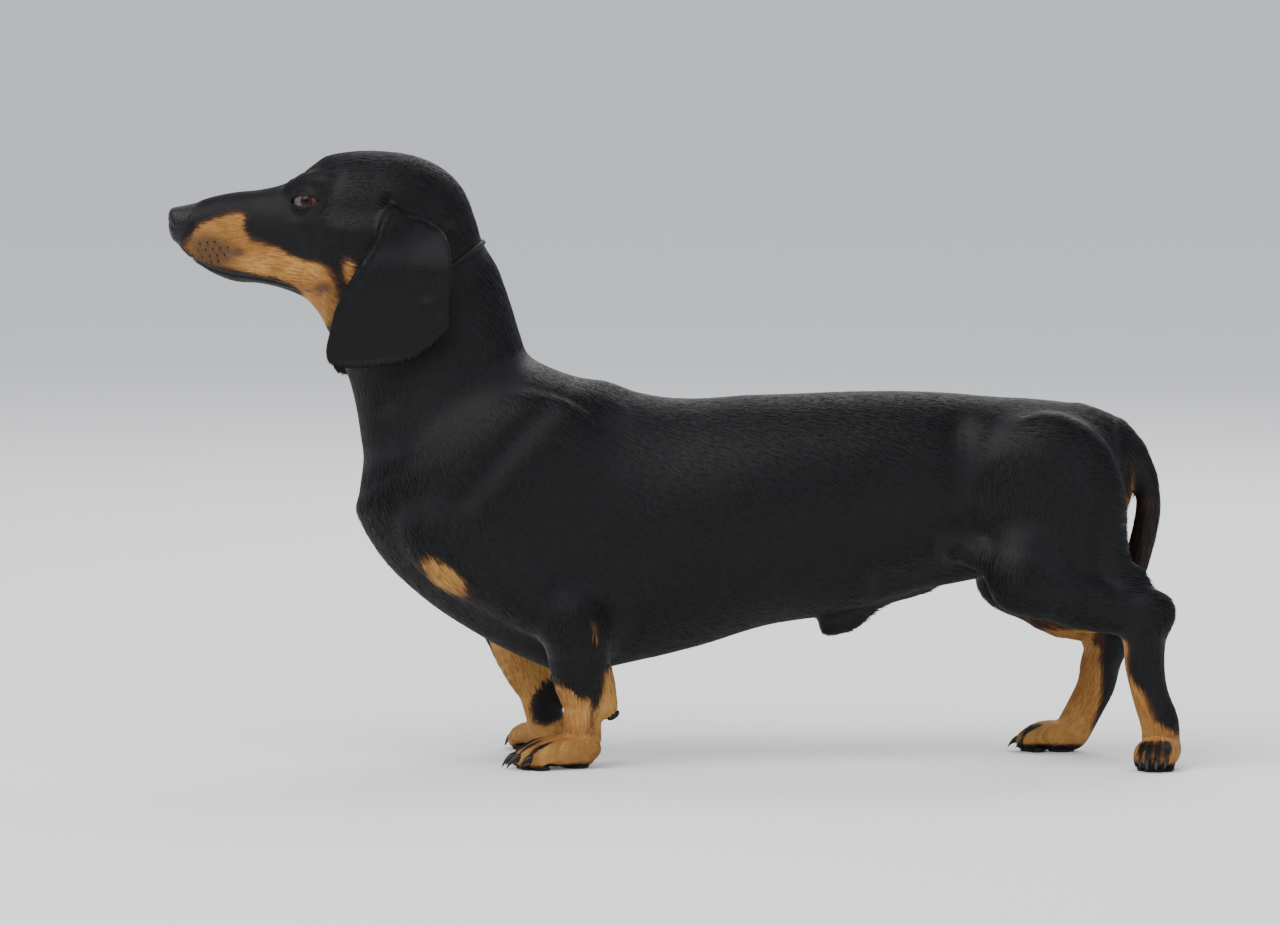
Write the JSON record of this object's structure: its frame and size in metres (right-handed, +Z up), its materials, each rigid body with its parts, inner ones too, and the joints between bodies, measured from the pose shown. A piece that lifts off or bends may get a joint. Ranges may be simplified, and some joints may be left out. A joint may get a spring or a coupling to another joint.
{
  "type": "dachshund figure",
  "caption": "Life-size still model of a standing smooth-haired dachshund, black and tan, with long hanging ears, short legs and a thin collar.",
  "frame": {"origin": "on the floor under the middle of the dog, at the bottom centre of its box", "axes": "+X from the nose to the tail, +Y from the dog's left side to its right side, +Z up"},
  "size_m": [0.6569, 0.1779, 0.3971],
  "materials": {
    "coat_black": "short glossy black coat",
    "coat_tan": "short tan coat",
    "nose_leather": "pebbled black leather, slightly moist",
    "eye": "wet dark brown",
    "collar": "thin black leather",
    "claw": "dark horn"
  },
  "bodies": {
    "root": {"head": "coat_black", "nose": "nose_leather", "eye_left": "eye", "eye_right": "eye", "ear_left": "coat_black", "ear_right": "coat_black", "neck": "coat_black", "collar": "collar", "torso": "coat_black", "tail": "coat_black", "foreleg_left": "coat_black", "foreleg_right": "coat_black", "forepaw_left": "coat_tan", "forepaw_right": "coat_tan", "hindleg_left": "coat_black", "hindleg_right": "coat_black", "hindpaw_left": "coat_tan", "hindpaw_right": "coat_tan"}
  },
  "joints": []
}
